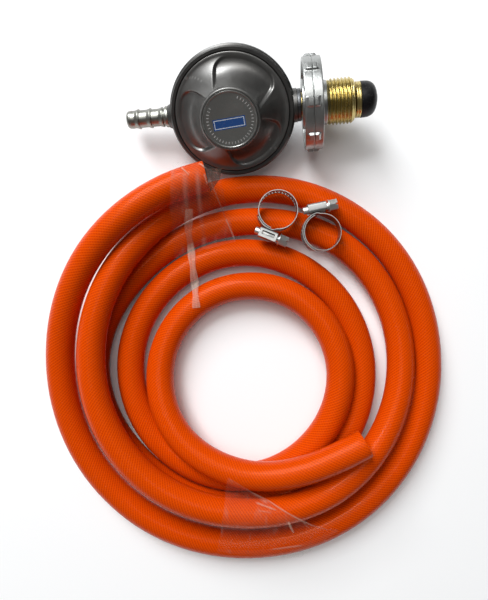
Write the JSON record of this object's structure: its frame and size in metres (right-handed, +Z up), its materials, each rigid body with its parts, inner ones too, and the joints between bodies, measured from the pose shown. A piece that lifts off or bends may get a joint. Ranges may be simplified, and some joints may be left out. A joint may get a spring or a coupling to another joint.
{
  "type": "gas regulator and hose set",
  "caption": "Low-pressure gas regulator with a hand-wheel inlet, a coil of braided hose held by clear tape, and two worm-drive hose clips.",
  "frame": {"origin": "on the surface that the set lies on, midway along and across the regulator and the clips", "axes": "+X along the regulator from its hose tail to its inlet, +Y from the coil to the regulator, +Z up"},
  "size_m": [0.2082, 0.2622, 0.0466],
  "materials": {
    "body_paint": "dark grey hammered enamel, semi-gloss",
    "disc_face": "printed face behind a clear snap-in disc",
    "zinc": "zinc plated",
    "wheel_zinc": "die-cast zinc, satin, with a parting line",
    "brass": "machined",
    "nose_rubber": "moulded, smooth",
    "diaphragm_rubber": "fabric-backed",
    "spring_steel": "plain",
    "clip_steel": "bright zinc plated strip",
    "screw_steel": "bright plated",
    "hose_plastic": "glossy translucent orange over a braid",
    "clear_tape": "clear film, creased"
  },
  "bodies": {
    "hose_coil": {"gas_hose": "hose_plastic", "tape_upper": "clear_tape", "tape_lower": "clear_tape"},
    "regulator": {"lower_body": "body_paint", "hose_tail": "zinc", "cover": "body_paint", "label_disc": "disc_face", "diaphragm": "diaphragm_rubber", "lever_pin": "spring_steel", "inlet_jet": "brass", "inlet_nipple": "brass", "inlet_filter": "brass", "nose_seal": "nose_rubber", "neck_ring": "zinc", "main_spring": "spring_steel"},
    "inlet_nut": {"handwheel": "wheel_zinc", "union_nut": "brass"},
    "adjuster": {"adjusting_nut": "brass"},
    "pull_rod": {"diaphragm_plate": "zinc", "pull_stem": "brass"},
    "lever_arm": {"lever": "zinc"},
    "valve": {"valve_plunger": "brass", "valve_pad": "nose_rubber"},
    "clip_a": {"clip_a_band": "clip_steel", "clip_a_housing": "clip_steel"},
    "clip_a_worm": {"clip_a_screw": "screw_steel"},
    "clip_b": {"clip_b_band": "clip_steel", "clip_b_housing": "clip_steel"},
    "clip_b_worm": {"clip_b_screw": "screw_steel"}
  },
  "joints": [
    {"name": "regulator_lift", "type": "slide", "parent": "hose_coil", "child": "regulator", "axis": [0, 0.342, 0.9397], "range_m": [0, 0.05]},
    {"name": "handwheel_spin", "type": "hinge", "parent": "regulator", "child": "inlet_nut", "pos_m": [0.0275, 0.02516, 0.02263], "axis": [0.9945, 0.0573, 0.0872], "continuous": true},
    {"name": "adjuster_turn", "type": "hinge", "parent": "regulator", "child": "adjuster", "pos_m": [-0.00896, 0.01484, 0.03365], "axis": [-0.0466, -0.5035, 0.8627], "continuous": true},
    {"name": "diaphragm_slide", "type": "slide", "parent": "regulator", "child": "pull_rod", "axis": [-0.0466, -0.5035, 0.8627], "range_m": [0, 0.0012], "stiffness_N_per_m": 800, "springref_m": -0.003, "deforming": ["main_spring"]},
    {"name": "lever_tilt", "type": "hinge", "parent": "regulator", "child": "lever_arm", "pos_m": [0.00148, 0.02616, 0.01602], "axis": [-0.0934, 0.8621, 0.4981], "range_deg": [0, 7.3]},
    {"name": "valve_slide", "type": "slide", "parent": "regulator", "child": "valve", "axis": [0.9945, 0.0573, 0.0872], "range_m": [0, 0.00064]},
    {"name": "clip_a_lift", "type": "slide", "parent": "hose_coil", "child": "clip_a", "axis": [0, 0, 1], "range_m": [0, 0.05]},
    {"name": "clip_a_screw_turn", "type": "hinge", "parent": "clip_a", "child": "clip_a_worm", "pos_m": [0.0098, -0.04097, 0.0193], "axis": [-0.9272, 0.3746, 0], "continuous": true},
    {"name": "clip_b_lift", "type": "slide", "parent": "hose_coil", "child": "clip_b", "axis": [0, 0, 1], "range_m": [0, 0.05]},
    {"name": "clip_b_screw_turn", "type": "hinge", "parent": "clip_b", "child": "clip_b_worm", "pos_m": [0.03495, -0.02732, 0.0193], "axis": [0.9781, 0.2079, 0], "continuous": true}
  ],
  "couplings": [
    {"joint": "lever_tilt", "follows": "diaphragm_slide", "rad_per_m": 105.26},
    {"joint": "valve_slide", "follows": "diaphragm_slide", "ratio": 0.5263}
  ]
}
